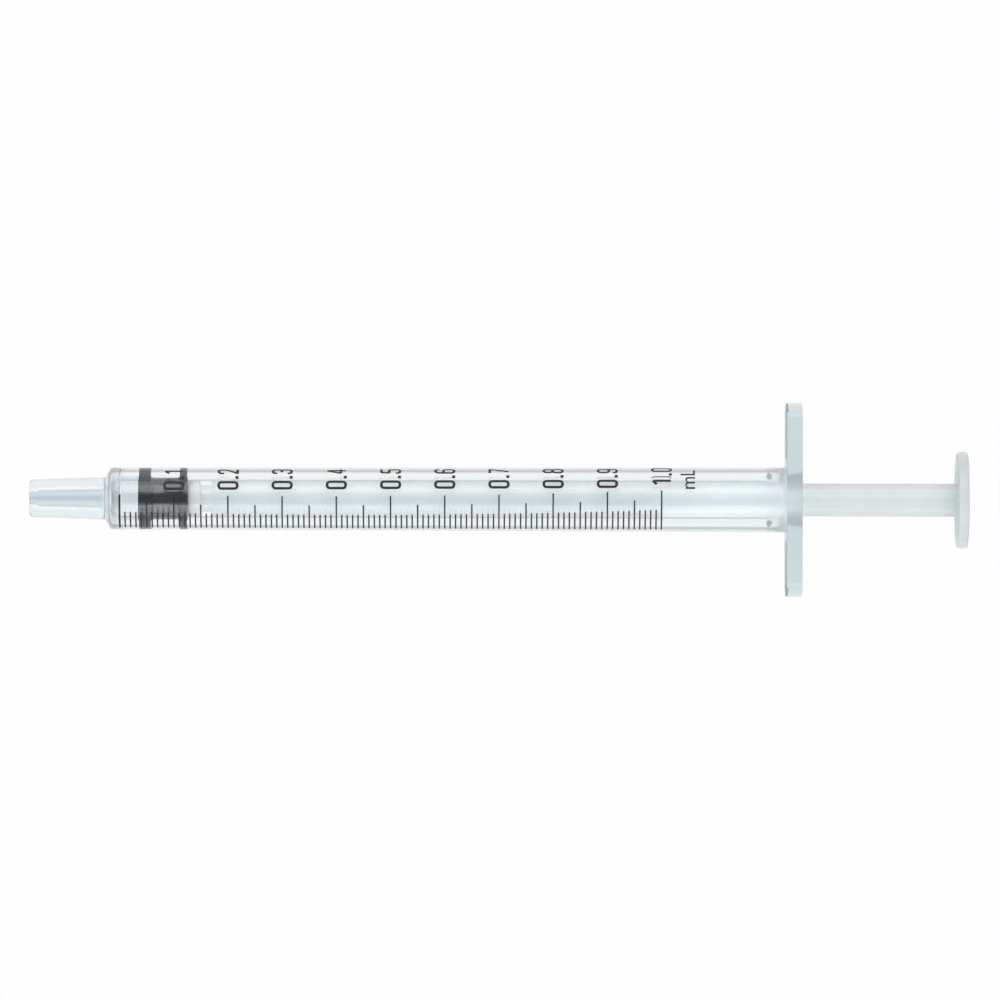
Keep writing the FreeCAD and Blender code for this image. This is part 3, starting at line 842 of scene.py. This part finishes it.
def scale_line(along, width, foot, top):
    """One printed line as a thin bar, spun round the tube from its foot to its top."""
    degrees_per_step = 3.0
    radius = tube_radius(along) + (INK_THICKNESS - INK_SINK) / 2
    bpy.ops.mesh.primitive_plane_add(size=width, location=(TIP_END + along, 0, radius),
                                     rotation=(math.pi / 2, 0, 0))
    line = bpy.context.object
    edit(line)
    bpy.ops.mesh.select_all(action="SELECT")
    bpy.ops.transform.resize(value=(1, 1, (INK_THICKNESS + INK_SINK) / width), orient_type="GLOBAL",
                             center_override=(TIP_END + along, 0, radius))
    bpy.ops.mesh.spin(steps=math.ceil((top - foot) / degrees_per_step), angle=math.radians(top - foot),
                      center=(0, 0, 0), axis=(1, 0, 0))
    bpy.ops.mesh.select_all(action="SELECT")
    bpy.ops.mesh.normals_make_consistent(inside=False)
    settle()
    line.rotation_euler = (-math.radians(foot), 0, 0)
    apply_place()
    return line


def make_scale_lines(material):
    """All lines as one print: each tenth long, each half of a tenth medium, the others short."""
    steps = 100
    lines = []
    for step in range(steps + 1):
        part = step / steps
        start, drift, bow = SHORT_LINE_TOP
        if step % 10 == 0:
            start, drift, bow = LONG_LINE_TOP
        elif step % 5 == 0:
            start, drift, bow = MEDIUM_LINE_TOP
        width = ZERO_LINE_WIDTH if step == 0 else LINE_WIDTH
        lines.append(scale_line(SCALE_ZERO + part * 10 * TENTH_PITCH, width, LINES_FOOT,
                                start + drift * part + bow * part * part))
    bpy.ops.object.select_all(action="DESELECT")
    for line in lines:
        line.select_set(True)
    bpy.context.view_layer.objects.active = lines[0]
    bpy.ops.object.join()
    scale = bpy.context.object
    scale.name = "scale_lines"
    scale.data.materials.append(material)
    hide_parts("scale_graduations")
    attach(scale, "barrel")


def make_numerals(material):
    """A figure on every tenth line, and the unit beside the last."""
    for tenth in range(1, 11):
        words = "%.1f" % (tenth / 10)
        start = LAST_FIGURE_START if tenth == 10 else FIGURE_START + FIGURE_DRIFT * tenth
        foot = SCALE_ZERO + tenth * TENTH_PITCH + FIGURE_HEIGHT / 2
        wrap_print(draw_figures("numeral_" + words, words), foot, start, material)
    wrap_print(draw_words("unit_mark", "mL", UNIT_HEIGHT), UNIT_TOP + UNIT_HEIGHT, UNIT_START, material)


# Room and camera.

def add_floor():
    """The table, which the barrel touches at its shoulder and the flange at its flat."""
    tilt = math.atan((FLANGE_HALF_DEPTH - TUBE_FRONT_RADIUS) / (FLANGE_REAR - SHOULDER_REAR))
    bpy.ops.mesh.primitive_plane_add(size=FLOOR_SIZE, rotation=(0, tilt, 0),
                                     location=(TIP_END + FLANGE_REAR, 0, -FLANGE_HALF_DEPTH - FLOOR_DROP))
    floor = bpy.context.object
    floor.name = "floor"
    apply_place()
    floor.data.materials.append(white_floor())


def add_side_lamp(name, side, radiance):
    """A long soft box beside the barrel, seen in its wall as a pale band."""
    middle = (LAMP_NEAR_ANGLE + LAMP_FAR_ANGLE) / 2
    width = 2 * LAMP_REACH * math.tan((LAMP_FAR_ANGLE - LAMP_NEAR_ANGLE) / 2)
    data = bpy.data.lights.new(name, "AREA")
    data.shape = "RECTANGLE"
    data.size = LAMP_LENGTH
    data.size_y = width
    data.energy = radiance * math.pi * LAMP_LENGTH * width
    lamp = bpy.data.objects.new(name, data)
    lamp.location = (0, side * LAMP_REACH * math.sin(middle), LAMP_REACH * math.cos(middle))
    lamp.rotation_euler = (-side * middle, 0, 0)
    bpy.context.scene.collection.objects.link(lamp)


def add_world():
    """A pale room, darker towards both ends of the syringe, and white where it is looked at."""
    towards_ends = (0.15, 0.85)
    towards_top = (0.5, 0.8)
    world = bpy.data.worlds.new("room")
    world.use_nodes = True
    tree = world.node_tree
    sky = tree.nodes["Background"]
    sky.inputs["Color"].default_value = (*SKY_TINT, 1)
    place = tree.nodes.new("ShaderNodeTexCoord")
    split = tree.nodes.new("ShaderNodeSeparateXYZ")
    tree.links.new(place.outputs["Generated"], split.inputs[0])
    endwise = math_node(tree, "ABSOLUTE", split.outputs[0])
    dim = map_range(tree, endwise, *towards_ends, 1.0, ROOM_END_SHARE)
    overhead = map_range(tree, split.outputs[2], *towards_top, WALLS_SEEN, SKY_SEEN)
    path = tree.nodes.new("ShaderNodeLightPath")
    mirrored = math_node(tree, "MAXIMUM", path.outputs["Is Glossy Ray"], path.outputs["Is Transmission Ray"])
    walls = math_node(tree, "MAXIMUM", math_node(tree, "MULTIPLY", overhead, dim), SKY_SEEN)
    mirrored_part = math_node(tree, "MULTIPLY", mirrored, walls)
    lit_part = math_node(tree, "MULTIPLY", map_range(tree, mirrored, 0.0, 1.0, SKY_STRENGTH, 0.0), dim)
    room = math_node(tree, "ADD", mirrored_part, lit_part)
    seen = math_node(tree, "MAXIMUM", room, path.outputs["Is Camera Ray"])
    tree.links.new(seen, sky.inputs["Strength"])
    bpy.context.scene.world = world


def add_camera():
    """The camera over the barrel, looking straight down."""
    data = bpy.data.cameras.new("camera")
    data.lens = CAMERA_LENS
    camera = bpy.data.objects.new("camera", data)
    camera.location = (CAMERA_SIDE, CAMERA_RISE, CAMERA_DISTANCE)
    camera.rotation_euler = (0, 0, CAMERA_ROLL)
    bpy.context.scene.collection.objects.link(camera)
    bpy.context.scene.camera = camera


marks = mould_marks()
ink = black_ink(marks)
make_barrel(clear_plastic(marks))
make_gasket(dark_rubber(marks))
make_scale_lines(ink)
make_numerals(ink)
dress("plunger", milky_plastic(marks))

bpy.context.scene.view_settings.view_transform = "Standard"
add_world()
add_floor()
add_side_lamp("far_lamp", 1, FAR_LAMP_RADIANCE)
add_side_lamp("near_lamp", -1, NEAR_LAMP_RADIANCE)
add_camera()
